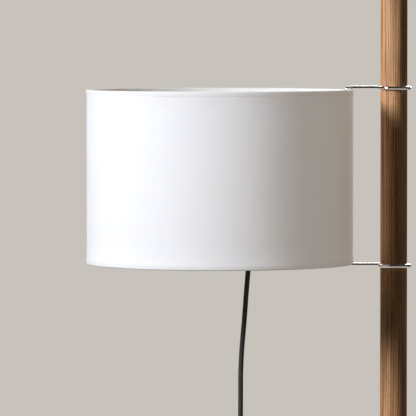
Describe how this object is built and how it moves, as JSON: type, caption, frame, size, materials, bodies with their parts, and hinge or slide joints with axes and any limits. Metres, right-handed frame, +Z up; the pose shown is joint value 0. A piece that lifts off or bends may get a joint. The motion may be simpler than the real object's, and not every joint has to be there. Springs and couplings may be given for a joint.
{
  "type": "tripod floor lamp",
  "caption": "Floor lamp: a white fabric drum shade on a chromed wire carriage that slides and swings on a round wooden pole standing on splayed wooden legs.",
  "frame": {"origin": "on the floor, under the middle of the lamp's footprint", "axes": "+Z up along the pole, +Y away from the front, the shade on the -X side of the pole"},
  "size_m": [0.803, 0.5958, 1.66],
  "materials": {
    "walnut": "oiled open-grain wood, straight vertical grain",
    "chromed_wire": "bright polished chrome",
    "zinc_steel": "zinc-plated",
    "brass": "machined",
    "shade_fabric": "plain white weave laminated on a stiff backing",
    "edge_binding": "ivory cloth tape",
    "white_wire": "white powder coat",
    "white_plastic": "satin moulded",
    "ceramic": "unglazed",
    "opal_glass": "opal white",
    "black_plastic": "fine moulded texture",
    "grey_plastic": "fine moulded texture",
    "black_rubber": "matt",
    "cord_cloth": "charcoal braided cloth sleeve"
  },
  "bodies": {
    "root": {"pole": "walnut", "pole_insert": "brass", "pole_bolt": "zinc_steel", "bolt_washer": "zinc_steel", "hub": "walnut", "leg_1": "walnut", "leg_2": "walnut", "leg_3": "walnut", "leg_screw_1": "zinc_steel", "leg_screw_2": "zinc_steel", "leg_screw_3": "zinc_steel", "foot_pad_1": "black_rubber", "foot_pad_2": "black_rubber", "foot_pad_3": "black_rubber", "cord_floor": "cord_cloth", "cord_tail": "cord_cloth", "cord_coil": "cord_cloth", "switch_base": "grey_plastic", "switch_cover": "grey_plastic", "switch_screw_1": "zinc_steel", "switch_screw_2": "zinc_steel", "button_spring": "zinc_steel", "contact_block": "ceramic", "switch_sleeve_in": "black_rubber", "switch_sleeve_out": "black_rubber", "plug_body": "black_plastic", "plug_pin_1": "brass", "plug_pin_2": "brass"},
    "turning_cord": {"cord_hanging": "cord_cloth"},
    "carriage": {"upper_rod": "chromed_wire", "lower_rod": "chromed_wire", "spine_ferrule": "chromed_wire", "arm_block": "chromed_wire", "holder_arm": "chromed_wire", "holder_top_nut": "chromed_wire", "ferrule_screw_1": "zinc_steel", "ferrule_screw_2": "zinc_steel", "block_screw_1": "zinc_steel", "block_screw_2": "zinc_steel", "holder_nipple": "zinc_steel", "holder_lock_nut": "zinc_steel", "bulb_cap": "zinc_steel", "centre_contact": "brass", "screw_shell": "brass", "bulb_tip": "brass", "shade_drum": "shade_fabric", "binding_top": "edge_binding", "binding_bottom": "edge_binding", "shade_ring_top": "white_wire", "shade_ring_bottom": "white_wire", "shade_spider": "white_wire", "holder_cap": "white_plastic", "holder_shell": "white_plastic", "shade_ring_nut": "white_plastic", "holder_core": "ceramic", "bulb_glass": "opal_glass", "bulb_insulator": "black_plastic", "cord_gland": "black_rubber"},
    "button": {"switch_button": "black_plastic"}
  },
  "joints": [
    {"name": "swing", "type": "hinge", "parent": "root", "child": "turning_cord", "pos_m": [0.0585, 0, 1.19], "axis": [0, 0, 1], "range_deg": [-50, 50], "deforming": ["cord_floor"]},
    {"name": "height", "type": "slide", "parent": "turning_cord", "child": "carriage", "axis": [0, 0, 1], "range_m": [-0.5, 0.3], "deforming": ["cord_hanging"]},
    {"name": "switch_press", "type": "slide", "parent": "root", "child": "button", "axis": [0, 0, -1], "range_m": [0, 0.003], "stiffness_N_per_m": 300, "deforming": ["button_spring"]}
  ]
}
